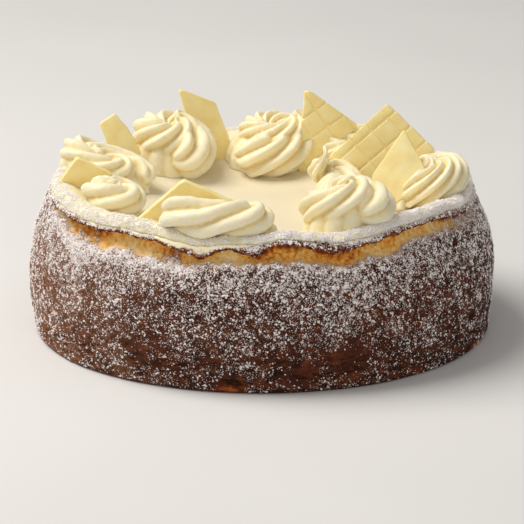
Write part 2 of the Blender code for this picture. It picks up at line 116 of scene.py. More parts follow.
RIDGE_UNEVEN, RIDGE_WAVES, ROPE_UNEVEN = 0.25, 2.2, 0.08
# How the rope closes in, thins, starts and ends, with its length as 1
CLOSING, THINNING, CLIMBING = 0.75, 0.52, 1.25
BLUNT_START, NO_POINT = 0.05, 0.004
FINE_END, END_SHAPE, END_LENGTH = 0.15, 0.8, 1.02
PEAK_START, PEAK_HEIGHT = 0.86, 2.5
ROPE_BED = 0.7
ROPE_STEPS, ROPE_SIDES = 170, 96
# The mound inside the coils, and the flutes round its foot
CORE_WIDTH, CORE_RISE, CORE_RINGS, CORE_SIDES = 1.10, 0.5, 12, 144
FLUTE_DEPTH, FLUTES = 0.09, 11
SUNK = 0.3
# The skin of a swirl, its ripples as (height, (size, seed, octaves)), and how its grooves are found for the
# painted shade in them
SWIRL_VOXEL, SWIRL_RELAX = 0.66, 0.5
SWIRL_RIPPLES = ((0.22, (4.5, 3.3, 2)), (0.07, (1.7, 7.1)))
HOLLOW_ROUNDS, EVEN_ROUNDS, DEEPEST = 6, 2, 92
# Sugar on a swirl, as (start, reach) in radius, in x and in how far it faces right
OUTER_DUST, RIGHT_DUST, FACING_DUST = (98, 12), (60, 40), (0.2, 0.5)
OUTER_SHARE, RIGHT_SHARE = 0.7, 0.6

# Each piece of chocolate: the foot of it as (x, y, z), the way its face looks, how far it leans back, and its
# corners across and up from the foot. The grid is the side of the squares pressed in its face, and its turn.
PIECES = (
    ("chocolate_piece_1", (-91, -4, 72), -84, -18,
     ((-16, 2.5), (-4.5, 22), (14, 11), (11, -1.5), (1.5, -5), (-12, -0.5)), None),
    ("chocolate_piece_2", (-75, 44, 70), -88, 6,
     ((-10, 25), (-2, 30.5), (5, 22.5), (12, 9), (7, 1), (0, 0), (-6, 15)), None),
    ("chocolate_piece_3", (-29, 73, 67), -76, 6,
     ((-14.5, 39), (-11.5, 39), (5, 31.5), (14.5, 5), (13, -5), (-6, -4), (-10, 22)), None),
    ("chocolate_piece_4", (30, 62, 66), -82, 8,
     ((-7, 42), (-3, 41), (21, 23), (13, -4), (-8, -4), (-13, 3), (-8, 30)), (11.0, 33)),
    ("chocolate_piece_5", (62, 14, 67), -96, 10,
     ((2, 46), (27, 23), (22, -2), (-19, -4), (-25, 3), (-28, 17)), (11.0, 42)),
    ("chocolate_piece_6", (71, -30, 68), -98, 24,
     ((-1, 43.5), (10.5, 24.5), (10.5, 19.5), (0, 7.5), (-12, -2), (-16, 19)), None),
    ("chocolate_piece_7", (-38, -62, 70), -94, -22,
     ((-0.5, 30.5), (26, 16.5), (23, 0.5), (-13.5, -5.5), (-23.5, -1.5), (-26.5, 3)), None),
)
CHOCOLATE = 3.0
GROOVE_WIDTH, GROOVE_DEPTH, SECOND_GROOVE, GROOVE_REACH = 1.8, 0.8, 0.8, 70
# A groove's soft V, as (half widths, depths) from the face
GROOVE_SECTION = ((-0.3, -1), (0.3, -1), (0.9, -0.3), (1.7, 0.6), (-1.7, 0.6), (-0.9, -0.3))
# Broken edges: cut corners, rough parts and worn arrises
CORNER_CUT, CORNER_SHARE = 1.4, 0.4
EDGE_PART, EDGE_ROUGH, EDGE_WAVE, EDGE_SEED = 2.0, 0.3, 3, 3.0
ARRIS, ARRIS_SHAPE, ARRIS_PARTS, UPRIGHT = 0.45, 0.6, 2, 0.01
WORN, WORN_PARTS, WORN_ANGLE, SHARP_ANGLE = 0.22, 2, 18, 28

# Parts of each stretch of the crust's and the cream's outlines, and points round them
CRUST_PARTS = (2, 3, 5, 9, 11, 10, 9, 8, 8, 4, 3, 4, 6, 7, 5, 3, 5, 4, 5, 2, 2, 2)
CRUST_AROUND = 720
CREAM_PARTS = (2, 2, 2, 3, 5, 5, 5, 6, 7, 7, 9, 10, 6, 3)
CREAM_AROUND = 420
# The stretches of the torn crack and of the lip over it, how far the skin runs into the first, where cream
# can lie on the lip, how open a crack counts, and where the cream's underside ends
TORN = (11, 15)
NOSE = (15, 18)
SKIN_ON_LEDGE, COVER_START, TORN_ENOUGH = 0.6, 1.0, 0.3
CREAM_UNDER = 4
SHORTEST, NEAR_NOTHING = 1e-3, 1e-9

# How each octave of noise is weaker and finer than the last
OCTAVE_STEPS = (0.8, 2.1)
# Noise over the crust, as (size, seed, octaves), and how far it pushes
COARSE, FINE, LUMPS = (13.0, 3.1, 3), (3.0, 8.7, 2), (20.0, 1.7, 2)
FIBRES, FIBRE_STRETCH = (1.9, 5.3, 2), (1.0, 1.0, 0.35)
SKIN_PUSH, LIP_PUSH, TORN_PUSH = (0.45, 0.26), 0.38, 0.85
PLAIN_FOOT = (1.0, 5.0)
# Creases round the foot of the side, and how they fade upwards
CREASES, CREASE_STRETCH = (4.0, 6.6, 2), (0.3, 0.3, 1.6)
CREASE_START, CREASE_DEPTH = 0.16, 2.4
CREASE_TOP, CREASE_FADE, CREASE_LEAST = 26, 14, 0.06
# Dents in the side, as (angle, height, radius, depth)
DENTS = (
    (-125, 20.5, 3.2, 2.2), (-116.5, 11.5, 3.4, 1.8), (-27, 20, 3.6, 2.4), (-31, 61, 3.0, 2.0),
    (-96.5, 5.5, 5.0, 1.2), (37, 24, 3.4, 2.0), (118, 14, 3.6, 2.0), (165, 30, 3.0, 2.0),
)
DENT_HEIGHT, DENT_SLOPE = 0.75, 1.5
# Patches without sugar and patches of orange skin, as (angle, height, width, height of it)
BARE = (
    (-69.6, 17, 11, 9), (-97, 4, 9, 3), (-24, 3, 9, 4), (-79, 9, 8, 6), (-122, 16, 6, 6), (60, 12, 14, 9),
    (140, 8, 16, 8),
)
ORANGE = ((-97.2, 2.2, 6.5, 1.5), (-21, 2.0, 7, 1.6))
PATCH_RADIUS, PATCH_FALL = 118, 1.2
# How strong a patch without sugar is, and what fine and coarse noise add to it
BARE_UNEVEN = (1, 0.9, 0.5)

# How far the cream runs down over the lip, and the sugar on its edge, as (angle, share)
COVER = (
    (-175, 0.2), (-140, 0.3), (-125, 0.4), (-113, 0.8), (-103, 0.85), (-97, 0.7), (-91, 0.15), (-60, 0.1),
    (-40, 0.2), (-20, 0.1), (20, 0.3), (90, 0.6), (150, 0.3),
)
SUGARED_EDGE = (
    (-175, 0.7), (-135, 0.5), (-112, 0.35), (-99, 0.5), (-88, 0.9), (-60, 0.95), (-30, 1.0), (10, 1.0),
    (60, 0.6), (120, 0.6),
)
# What the place on the lip, the reach above, and coarse and fine noise add to the cream's cover
COVERED, COVER_FADE, COVER_SUGAR = (1, 1.9, 0.5, 0.3), 0.3, 0.8

# Sugar on the side, and what height, lumps, bare patches, hollows, the right, the ledge and its left add
SIDE_SUGAR = (0.45, 0.26, 0.18, -0.42, -0.5, -0.06, 0.25, 0.35)
UPPER, UPPER_CURVE = (16, 48), 1.2
# Where x counts as right, as left, as lit by painted light, and near the crack's right end, as (start, reach)
RIGHT, LEFT, PAINTED_LIGHT_LEFT, CLOSING_CRACK = (32, 40), (18, 30), (30, 80), (88, 12)
# Where the ledge's sugar lies, and how wide
LEDGE_PLACE, LEDGE_WIDTH, LEFT_WIDTH = 11.2, 1.0, 1.1
# Sugar in the crack, and what fibres, the right end and the low left add to it
CRACK_SUGAR = (0.12, 0.25, 0.55, 0.9)
LOW_LEFT = (0.9, 1, -0.38)
# Sugar on the lip, and what its upper part and lumps add to it
LIP_SUGAR, UPPER_LIP = (0.22, 0.55, 0.3), (0.7, 1.2)
# What the painted light at the left and the lumps' own tone add to the skin, what lumps and coarse noise add
# to the crumb's depth, and where it gets toasted
LIGHT_AND_TONE_SHARES, INSIDE_SHARES = (0.70, 0.30), (1, 0.25, 0.2)
TOASTED_PLACE, TOASTED_COARSE = (13.45, 0.7), 0.5

# The cream's top: its lumps and rough edge, and where it is sugared and spread smooth
CREAM_LUMPS, EDGE_LUMPS, EDGE_TEARS = (17.0, 2.2, 2), (8.0, 5.4, 2), (2.6, 4.4)
CREAM_PUSH, EDGE_PUSH = 0.30, (1.0, 0.45)
ROUGH_EDGE, SUGARED_FROM, SPREAD_WITHIN = (94, 8), (99.5, 5.5), (-98, 14)
# Where the plain top sits on the ramp of painted groove shade
PLAIN_TOP_SHADE = 0.35
# Nearer the middle than this radius, the cream is level round each ring
LEVEL_RADIUS = 60.0

# Grains of sugar: how many, their sizes, and how they gather
FINE_GRAINS, CLUMPS, RIM_GRAINS = 34000, 18000, 19000
FINE_SIZES, CLUMP_SIZES, RIM_SIZES = (0.22, 0.52), (0.26, 0.78), (0.20, 0.60)
SIZE_CURVE, CORNER_UNEVEN, GRAIN_HEIGHT, GRAIN_RISE, LOWEST_GRAIN = 2.2, 0.45, 0.75, 0.25, 0.2
LEAST_STRETCH, MORE_STRETCH = 0.75, 0.5
SIDE_CLUSTERS, SIDE_GATHERING = (2.6, 9.9), (0.5, 1.6, 0.02)
RIM_CLUSTERS, RIM_GATHERING = (3.0, 2.9), (0.5, 1.5, 0.05)
SUGAR_LEAST, SUGAR_CURVE, CLUMP_CURVE = 0.08, 1.3, 1.5
SUGARED_ABOVE, SUGARED_OUTSIDE = 0.8, 105.5
GRAIN_SEED = 24
TETRAHEDRON = (
    np.array([(1, 0, -0.5), (-0.5, 0.87, -0.5), (-0.5, -0.87, -0.5), (0, 0, 0.9)], float),
    np.array([(0, 2, 1), (0, 1, 3), (1, 2, 3), (2, 0, 3)]),
)
OCTAHEDRON = (
    np.array([(1, 0, 0), (-1, 0, 0), (0, 1, 0), (0, -1, 0), (0, 0, 1), (0, 0, -1)], float),
    np.array([(0, 2, 4), (2, 1, 4), (1, 3, 4), (3, 0, 4), (2, 0, 5), (1, 2, 5), (3, 1, 5), (0, 3, 5)]),
)

# Colours, and ramps of them as (place, colour)
SKIN = ((0.30, (0.024, 0.005, 0.002)), (0.50, (0.080, 0.0185, 0.006)), (0.74, (0.20, 0.054, 0.0165)))
# The lighter, warmer skin is painted light: the left side as the key light falls on it
PAINTED_LIT_SKIN, RUBBED_SKIN, ORANGE_SKIN = (0.34, 0.135, 0.055), (0.090, 0.021, 0.008), (0.55, 0.125, 0.02)
SKIN_SPECKS, SUGAR_SHADE = (0.026, 0.0062, 0.003), (0.020, 0.0045, 0.0025)
CREASE_SHADE = (0.016, 0.004, 0.002)
CRUMB = (
    (0.10, (0.94, 0.76, 0.42)), (0.36, (0.93, 0.62, 0.19)), (0.60, (0.88, 0.41, 0.060)),
    (0.88, (0.52, 0.135, 0.014)), (1.0, (0.26, 0.045, 0.006)),
)
TOASTED = ((0.35, (0.060, 0.009, 0.003)), (0.55, (0.20, 0.040, 0.007)), (0.72, (0.55, 0.18, 0.028)))
LEDGE_CRUMB, CREAM_ON_LIP = (0.74, 0.38, 0.20), (0.90, 0.80, 0.55)
SUGAR = (0.82, 0.74, 0.71)
GRAINS = ((0.3, (0.90, 0.835, 0.805)), (0.7, (0.97, 0.93, 0.91)))
# Cream colours by depth in a groove: the darker, yellower ones are painted shade
CREAM_WITH_GROOVE_SHADE = ((0.25, (0.88, 0.80, 0.565)), (0.60, (0.865, 0.755, 0.445)), (0.95, (0.81, 0.64, 0.29)))
SPREAD_CREAM, CREAM_POWDER = (0.79, 0.70, 0.51), (0.93, 0.90, 0.87)
WHITE_CHOCOLATE = ((0.30, (0.90, 0.735, 0.32)), (0.52, (0.95, 0.805, 0.385)), (0.75, (0.96, 0.855, 0.49)))
FLOOR = ((0.3, (0.70, 0.69, 0.68)), (0.7, (0.74, 0.73, 0.72)))

# The lights, as (name, place, size, power, colour), the world and the floor's half width
KEY_LIGHT = ("key", (-0.82, 0.12, 1.38), 1.1, 25.4, (1.0, 0.965, 0.915))
FILL_LIGHT = ("fill", (0.3, -1.9, 0.9), 1.4, 7.5, (1.0, 0.98, 0.96))
LIGHT_AIM = (0, 0, 0.05)
WORLD_COLOUR, WORLD_STRENGTH = (0.96, 0.94, 0.91, 1), 0.34
FLOOR_HALF = 3000

# The camera, from the front and above, and the photograph's width in pixels
CAMERA_RISE = 16.8
CAMERA_DISTANCE = 2.4
CAMERA_AIM = (0.0, 0.0, 0.0333)
FOCAL_PIXELS = 4640.0
PHOTO_PIXELS = 524
SENSOR = 36.0
FAR = 50


def blend(t):
    t = min(1.0, max(0.0, t))
    return t * t * (3 - 2 * t)


def between(knots, x):
    """The value at x of a line through the knots."""
    for (x0, y0), (x1, y1) in zip(knots, knots[1:]):
        if x <= x1:
            return y0 + (y1 - y0) * (x - x0) / (x1 - x0)
    return knots[-1][1]


def round_the_cake(knots, degrees):
    """The value at an angle of a smooth closed line through the knots."""
    closed = [(knots[-1][0] - 360, knots[-1][1]), *knots, (knots[0][0] + 360, knots[0][1])]
    degrees = (degrees - closed[1][0]) % 360 + closed[1][0]
    for (x0, y0), (x1, y1) in zip(closed, closed[1:]):
        if x0 <= degrees <= x1:
            return y0 + (y1 - y0) * blend((degrees - x0) / (x1 - x0))
    return closed[-1][1]


def ring_noise(degrees, waves, level):
    """Noise that closes round the cake."""
    a = math.radians(degrees)
    return noise.noise(Vector((waves * math.cos(a), waves * math.sin(a), level)))


def ring_waves(degrees, waves):
    return sum(high * ring_noise(degrees, count, seed) for high, count, seed in waves)


def rim_height(degrees):
    return round_the_cake(RIM, degrees) + ring_waves(degrees, RIM_WAVES)


def crack_at(degrees):
    """How open the crack is, from 0 to 1, and how high it opens."""
    opening = round_the_cake(OPENING, degrees)
    return blend(opening / WIDE_OPEN), SEAM + opening


def side_radius(height, degrees):
    return between(SIDE, height) + SIDE_UNEVEN * ring_noise(degrees, SIDE_WAVES, height / SIDE_WAVE_HEIGHT)


def top_height(radius, degrees):
    """The top of the baked cake, under the cream."""
    share = (min(max(radius, TOP_RADII[-1]), RIM_RADIUS) / RIM_RADIUS) ** DISH
    return CENTRE_HEIGHT + (rim_height(degrees) + RIM_RISE - CENTRE_HEIGHT) * share


def cream_height(radius, degrees):
    share = min(1.0, radius / RIM_RADIUS)
    thickness = CREAM_AT_CENTRE + (CREAM_AT_EDGE - CREAM_AT_CENTRE) * share
    bead = round_the_cake(BEAD, degrees) * between(BEAD_SHARES, radius)
    return top_height(radius, degrees) + GAP + thickness + bead


def polar(point):
    return math.hypot(point[0], point[1]), math.degrees(math.atan2(point[1], point[0]))


def offsets(radius, height, steps):
    """Points of an outline, as steps out and up from one point."""
    return [(radius + out, height + up) for out, up in steps]


def crust_outline(degrees):
    """The baked cake's outline at one angle: side, crack, lip and dished top, with torn edges."""
    share, opening = crack_at(degrees)
    ragged, torn = ring_waves(degrees, LIP_WAVES), ring_waves(degrees, LEDGE_WAVES)
    rim = rim_height(degrees)
    lip = round_the_cake(LIP, degrees) + RAGGED_LIP * ragged * (SHUT_LIP + share)
    low = lip - opening - RAGGED_LEDGE * torn * (SHUT_LEDGE + share)
    depth = SEAM_DEPTH + CRACK_DEPTH * share
    edge = min(side_radius(low, degrees), LIP_RADIUS + LEDGE_OVERHANG)
    heights = (FOOT_EDGE, *SIDE_RINGS, *(low - drop for drop in SHOULDER))
    side = [(side_radius(h, degrees), h) for h in heights]
    ledge = offsets(edge, low, LEDGE)
    ledge[-1] = (ledge[-1][0] - LEDGE_SLOPE * depth, ledge[-1][1])
    back = LIP_RADIUS - depth
    inside = [(back + CRACK_BACK[0], low + CRACK_BACK_RISE * opening), (back + CRACK_BACK[1], lip)]
    nose = offsets(LIP_RADIUS + RAGGED_NOSE * ragged, lip, LIP_EDGE) + offsets(LIP_RADIUS, rim, RIM_EDGE)
    top = [(r, top_height(r, degrees)) for r in TOP_RADII]
    return [*FOOT, *side, *ledge, *inside, *nose, *top]


def cream_outline(degrees):
    """The cream's outline at one angle, from its underside over its round edge to its top."""
    edge = CREAM_RADIUS + ring_waves(degrees, CREAM_WAVES)
    rim = top_height(RIM_RADIUS, degrees) + CREAM_GAP
    thickness = cream_height(edge + CREAM_EDGE[-1][0], degrees) - rim
    under = [(r, top_height(r, degrees) + CREAM_GAP) for r in reversed(TOP_RADII)]
    outer = [(edge + out, rim + share * thickness) for out, share in CREAM_EDGE]
    top = [(r, cream_height(r, degrees)) for r in CREAM_RADII]
    return under + outer + top


def smooth_rings(outline, around, parts):
    """Points of a smooth surface through the outlines, the place of each ring along them, and the angles."""
    angles = -180 + 360 * (np.arange(around) + 0.5) / around
    knots = np.array([outline(a) for a in angles])
    steps = np.linalg.norm(np.diff(knots, axis=1), axis=2, keepdims=True).clip(SHORTEST)
    slopes = np.diff(knots, axis=1) / steps
    along = slopes[:, 1:] * steps[:, :-1] + slopes[:, :-1] * steps[:, 1:]
    inner = along / (steps[:, 1:] + steps[:, :-1])
    tangents = np.concatenate([slopes[:, :1], inner, slopes[:, -1:]], axis=1)
    rings, places = [], []
    for i, count in enumerate(parts):
        for k in range(count + (i == len(parts) - 1)):
            t = k / count
            rings.append(
                (2 * t**3 - 3 * t**2 + 1) * knots[:, i]
                + (t**3 - 2 * t**2 + t) * steps[:, i] * tangents[:, i]
                + (3 * t**2 - 2 * t**3) * knots[:, i + 1]
                + (t**3 - t**2) * steps[:, i] * tangents[:, i + 1]
            )
            places.append(i + t)
    radius_height = np.stack(rings, axis=1)
    turn = np.radians(angles)[:, None]
    flat = radius_height[:, :, 0]
    points = np.stack([flat * np.cos(turn), flat * np.sin(turn), radius_height[:, :, 1]], axis=2)
    return points, np.array(places), angles


def ring_faces(around, rings):
    """The quads of a closed ring of outlines, and the fans that shut it below and above."""
    i = np.arange(around)[:, None] * rings
    j = np.arange(rings - 1)[None, :]
    following = (np.arange(around)[:, None] + 1) % around * rings
    quads = np.stack([i + j, following + j, following + j + 1, i + j + 1], axis=2).reshape(-1, 4)
    bottom, top = around * rings, around * rings + 1
    starts = np.arange(around) * rings
    nexts = (np.arange(around) + 1) % around * rings
    low = np.stack([np.full(around, bottom), nexts, starts], axis=1)
    high = np.stack([np.full(around, top), starts + rings - 1, nexts + rings - 1], axis=1)
    return quads, np.concatenate([low, high])


def placed(name, data):
    """An object of the scene from a mesh, a light or a camera."""
    obj = bpy.data.objects.new(name, data)
    bpy.context.scene.collection.objects.link(obj)
    return obj


def mesh_object(name, points, quads=None, triangles=None, smooth=True):
    """An object from arrays of points, in millimetres, and faces."""
    mesh = bpy.data.meshes.new(name)
    faces = [f for f in (quads, triangles) if f is not None and len(f)]
    loops = np.concatenate([f.reshape(-1) for f in faces]).astype(np.int32)
    sizes = np.concatenate([np.full(len(f), f.shape[1]) for f in faces]).astype(np.int32)
    starts = np.concatenate([[0], np.cumsum(sizes)[:-1]]).astype(np.int32)
    mesh.vertices.add(len(points))
    mesh.vertices.foreach_set("co", (np.asarray(points) * MM).astype(np.float32).reshape(-1))
    mesh.loops.add(len(loops))
    mesh.loops.foreach_set("vertex_index", loops)
    mesh.polygons.add(len(sizes))
    mesh.polygons.foreach_set("loop_start", starts)
    mesh.update(calc_edges=True)
    mesh.validate()
    if smooth:
        mesh.shade_smooth()
    return placed(name, mesh)


def ring_mesh(name, points):
    """An object from rings of points, shut by a fan at its lower and its upper end."""
    around, rings = points.shape[:2]
    ends = [(0, 0, points[:, 0, 2].mean()), (0, 0, points[:, -1, 2].mean())]
    quads, fans = ring_faces(around, rings)
    return mesh_object(name, np.concatenate([points.reshape(-1, 3), ends]), quads, fans)


def store(obj, name, values):
    """Keeps one number for each point of a mesh, for its material."""
    layer = obj.data.attributes.new(name, "FLOAT", "POINT")
    layer.data.foreach_set("value", np.clip(values, 0.0, 1.0).astype(np.float32))


def grid_normals(points):
    across = np.roll(points, -1, axis=0) - np.roll(points, 1, axis=0)
    along = np.gradient(points, axis=1)
    normal = np.cross(across, along)
    return normal / np.linalg.norm(normal, axis=2, keepdims=True).clip(NEAR_NOTHING)


def mixed(shares, *layers):
    """The layers added up, each times its share."""
    return sum(share * layer for share, layer in zip(shares, layers))


def rising(value, start, reach):
    """0 where value is under start, 1 past start + reach, and a straight line between."""
    return np.clip((value - start) / reach, 0, 1)


def noise_at(points, size, seed, octaves=1):
    """Noise at each of many points, with lumps of about size millimetres."""
    scaled = points.reshape(-1, 3) / size + seed
    if octaves == 1:
        values = [noise.noise(p) for p in scaled.tolist()]
    else:
        values = [noise.fractal(p, *OCTAVE_STEPS, octaves) for p in scaled.tolist()]
    return np.array(values).reshape(points.shape[:-1])


def patches(points, angles, spots):
    """How far each point is within any of the spots round the side, from 0 to 1."""
    share = np.zeros(points.shape[:2])
    for degrees, height, wide, high in spots:
        off = (angles[:, None] - degrees + 180) % 360 - 180
        across = np.radians(off) * PATCH_RADIUS / wide
        up = (points[:, :, 2] - height) / high
        share = np.maximum(share, np.exp(-PATCH_FALL * (across**2 + up**2)))
    return share


def each_angle(knots, angles):
    """The value of a closed line at each angle, as a column."""
    return np.array([round_the_cake(knots, a) for a in angles])[:, None]


class CrustGrid:
    """The points of the crust, and the shares that shape, sugar and colour them."""

    def __init__(self):
        self.points, places, self.angles = smooth_rings(crust_outline, CRUST_AROUND, CRUST_PARTS)
        self.place = places[None, :]
        self.height = self.points[:, :, 2]
        self.open_crack = np.array([crack_at(a)[0] for a in self.angles])[:, None]
        self.everywhere = np.ones_like(self.open_crack)
        torn_from = TORN[0] + SKIN_ON_LEDGE
        self.torn = ((self.place >= torn_from) & (self.place <= TORN[1])) * np.sqrt(self.open_crack)
        self.lip = ((self.place > TORN[1]) & (self.place <= NOSE[1])) * self.everywhere
        self.skin = (self.place < torn_from) * self.everywhere
        self.coarse = noise_at(self.points, *COARSE)
        self.fine = noise_at(self.points, *FINE)
        self.fibres = noise_at(self.points * np.array(FIBRE_STRETCH), *FIBRES)
        self.roughen()
        self.x = self.points[:, :, 0]
        self.lumps = noise_at(self.points, *LUMPS)
        uneven = mixed(BARE_UNEVEN, 1, self.fine, self.coarse)
        self.bare = np.clip(patches(self.points, self.angles, BARE) * uneven, 0, 1)
        self.left = rising(-self.x, *LEFT)
        width = LEDGE_WIDTH + LEFT_WIDTH * self.left * (self.place < LEDGE_PLACE) * (1 + self.coarse)
        self.ledge = np.exp(-(((self.place - LEDGE_PLACE) / width) ** 2)) * self.open_crack

    def roughen(self):
        """Moves the points in and out: lumps, torn crumb, creases round the foot, and dents."""
        up_side = rising(self.height, *PLAIN_FOOT)
        push = self.skin * up_side * mixed(SKIN_PUSH, self.coarse, self.fine)
        push = push + self.lip * LIP_PUSH * self.fine + self.torn * TORN_PUSH * self.fibres
        dents = np.zeros_like(push)
        for degrees, up, wide, deep in DENTS:
            spot = (degrees, up, wide, DENT_HEIGHT * wide)
            dents += deep * patches(self.points, self.angles, [spot]) ** DENT_SLOPE
        lines = noise_at(self.points * np.array(CREASE_STRETCH), *CREASES) - CREASE_START
        low = np.clip((CREASE_TOP - self.height) / CREASE_FADE, CREASE_LEAST, 1)
        creases = np.clip(lines, 0, 1) * low
        push -= CREASE_DEPTH * creases * self.skin * up_side
        self.hollow = np.clip(dents + creases, 0, 1)
        self.points = self.points + grid_normals(self.points) * (push - dents * self.skin)[:, :, None]

    def sugar_on_skin(self):
        upper = rising(self.height, *UPPER) ** UPPER_CURVE
        right = rising(self.x, *RIGHT)
        spots = (self.lumps, self.bare, self.hollow, right, self.ledge, self.ledge * self.left)
        return mixed(SIDE_SUGAR, 1, upper, *spots)

    def sugar_in_crack(self):
        low = np.clip(mixed(LOW_LEFT, 1, self.coarse, self.place - TORN[0]), 0, 1)
        closing = rising(self.x, *CLOSING_CRACK)
        return mixed(CRACK_SUGAR, 1, np.clip(self.fibres, 0, 1), closing, self.left * low)

    def sugar_on_lip(self):
        up = np.clip(self.place - TORN[1] - UPPER_LIP[0], 0, UPPER_LIP[1])
        return mixed(LIP_SUGAR, 1, up, self.coarse)

    def cover(self):
        """Where the cream runs down over the lip."""
        reach = mixed(COVERED, self.place, each_angle(COVER, self.angles), self.coarse, self.fine)
        return rising(reach, NOSE[1], COVER_FADE) * (self.place > TORN[1] + COVER_START)

    def sugar(self, cover):
        share = np.where(self.torn > TORN_ENOUGH, self.sugar_in_crack(), self.sugar_on_skin())
        share = np.where(self.place > TORN[1], self.sugar_on_lip(), share)
        return share * (1 - cover) + COVER_SUGAR * each_angle(SUGARED_EDGE, self.angles) * cover

    def toast(self):
        """Where the crumb is toasted: the lip, and what is just under it."""
        under = self.torn * rising(self.place + TOASTED_COARSE * self.coarse, *TOASTED_PLACE)
        return np.maximum(self.lip, under)

    def inside(self):
        """How far into the crack each point lies, for the colour of the crumb."""
        share = rising(self.place, TORN[0], TORN[1] - TORN[0]) * self.everywhere
        return mixed(INSIDE_SHARES, share, self.lumps, self.coarse)


def crust():
    """The baked cake, with its skin, dents, torn crack and lip, and its share of sugar."""
    grid = CrustGrid()
    cover = grid.cover()
    sugar = grid.sugar(cover)
    obj = ring_mesh("crust", grid.points)
    layers = {
        "torn": grid.torn,
        "toast": grid.toast(),
        "sugar": sugar,
        # Painted light on the left side, mixed with the lumps' own uneven tone
        "left_light_and_tone": mixed(LIGHT_AND_TONE_SHARES, rising(-grid.x, *PAINTED_LIGHT_LEFT), grid.lumps),
        "ledge": grid.ledge,
        "rubbed": grid.bare,
        "inside": grid.inside(),
        "cover": cover,
        "orange": patches(grid.points, grid.angles, ORANGE),
    }
    for name, values in layers.items():
        store(obj, name, np.concatenate([values.reshape(-1), [0, 0]]))
    return obj, sugar


def surface_samples(points, weights, count, chance):
    """Random places on a ring grid, more where the weight is larger, with their normals."""
    normal = grid_normals(points)
    across = np.roll(points, -1, axis=0) - points
    along = np.diff(points, axis=1, append=points[:, -1:])
    area = np.linalg.norm(np.cross(across, along), axis=2)
    share = (area * weights.clip(0)).reshape(-1)
    picked = chance.choice(len(share), size=count, p=share / share.sum())
    i, j = np.divmod(picked, points.shape[1])
    a, b = chance.random((2, count, 1))
    j_next = np.minimum(j + 1, points.shape[1] - 1)
    i_next = (i + 1) % points.shape[0]
    low = points[i, j] * (1 - a) + points[i_next, j] * a
    high = points[i, j_next] * (1 - a) + points[i_next, j_next] * a
    return low * (1 - b) + high * b, normal[i, j]


def grains(name, places, normals, solid, small, large, chance):
    """Sugar grains of uneven size, each turned at random and pressed a little into what it lies on."""
    corners, faces = solid
    count = len(places)
    spin = chance.normal(size=(count, 3))
    side = np.cross(normals, spin)
    side /= np.linalg.norm(side, axis=1, keepdims=True)
    other = np.cross(normals, side)
    size = small + (large - small) * chance.random(count) ** SIZE_CURVE
    uneven = 1 + CORNER_UNEVEN * (chance.random((count, len(corners), 1)) - 0.5)
    local = corners[None] * uneven * size[:, None, None]
    stretch = LEAST_STRETCH + MORE_STRETCH * chance.random((count, 1, 1))
    points = (
        places[:, None]
        + local[:, :, 0:1] * side[:, None] * stretch
        + local[:, :, 1:2] * other[:, None] / stretch
        + (local[:, :, 2:3] * GRAIN_HEIGHT + GRAIN_RISE * size[:, None, None]) * normals[:, None]
    )
    points[:, :, 2] = points[:, :, 2].clip(LOWEST_GRAIN)
    indices = faces[None] + (np.arange(count) * len(corners))[:, None, None]
    return mesh_object(name, points.reshape(-1, 3), None, indices.reshape(-1, 3), smooth=False)


def cream_top():
    """The spread cream, smooth in the middle and rougher at its edge, and its share of sugar."""
    points, places, angles = smooth_rings(cream_outline, CREAM_AROUND, CREAM_PARTS)
    radius = np.linalg.norm(points[:, :, :2], axis=2)
    middle = points[:, :, 2].mean(axis=0)
    points[:, :, 2] = middle + (points[:, :, 2] - middle) * np.clip(radius / LEVEL_RADIUS, 0, 1) ** 2
    upper = (places > CREAM_UNDER).astype(float)[None, :]
    torn = mixed(EDGE_PUSH, noise_at(points, *EDGE_LUMPS), noise_at(points, *EDGE_TEARS))
    push = upper * (CREAM_PUSH * noise_at(points, *CREAM_LUMPS) + rising(radius, *ROUGH_EDGE) * torn)
    points = points + grid_normals(points) * push[:, :, None]
    obj = ring_mesh("cream_top", points)
    edge = upper * rising(radius, *SUGARED_FROM) * each_angle(SUGARED_EDGE, angles)
    store(obj, "dust", np.concatenate([edge.reshape(-1), [0, 0]]))
    store(obj, "groove", np.full(len(obj.data.vertices), PLAIN_TOP_SHADE))
    store(obj, "spread", np.concatenate([rising(-radius, *SPREAD_WITHIN).reshape(-1), [1, 1]]))
    return obj, points, edge


def rope_rings(spec):
    """The points of a star-shaped rope of cream, laid along a spiral that closes in as it rises."""
    _, angle, ring, along, across, thick, rise, turns, start, ridges, twist, lean_along, lean_across = spec
    radial, tangent = directions(angle)
    lean = lean_along * tangent + lean_across * radial
    points = []
    for i in range(ROPE_STEPS + 1):
        s = i / ROPE_STEPS
        t = math.radians(start) + turns * math.tau * s
        out = Vector((math.cos(t), math.sin(t), 0))
        reach = across * radial * out.dot(radial) + along * tangent * out.dot(tangent)
        start_size = math.sqrt(min(1.0, (s + NO_POINT) / BLUNT_START))
        end_size = min(1.0, (END_LENGTH - s) / FINE_END) ** END_SHAPE
        size = thick * (1 - THINNING * s) * start_size * end_size
        centre = ring * radial + reach * (1 - s) ** CLOSING + lean * s * s
        peak = PEAK_HEIGHT * max(0.0, s - PEAK_START) / (1 - PEAK_START)
        centre.z = cream_height(*polar(centre)) + ROPE_BED * thick + rise * s**CLIMBING + peak
        for j in range(ROPE_SIDES):
            psi = math.tau * j / ROPE_SIDES
            turned = psi - twist * t
            wave = Vector((ring, RIDGE_WAVES * math.cos(turned), RIDGE_WAVES * math.sin(turned) + t))
            uneven = RIDGE_UNEVEN * noise.noise(wave)
            ridge = abs(math.cos(ridges * turned / 2 + uneven)) ** RIDGE_SHARPNESS
            radius = size * (1 - RIDGE_DEPTH * (1 - ridge) + ROPE_UNEVEN * uneven)
            points.append(centre + radius * (math.cos(psi) * out + math.sin(psi) * Vector((0, 0, 1))))
    return points


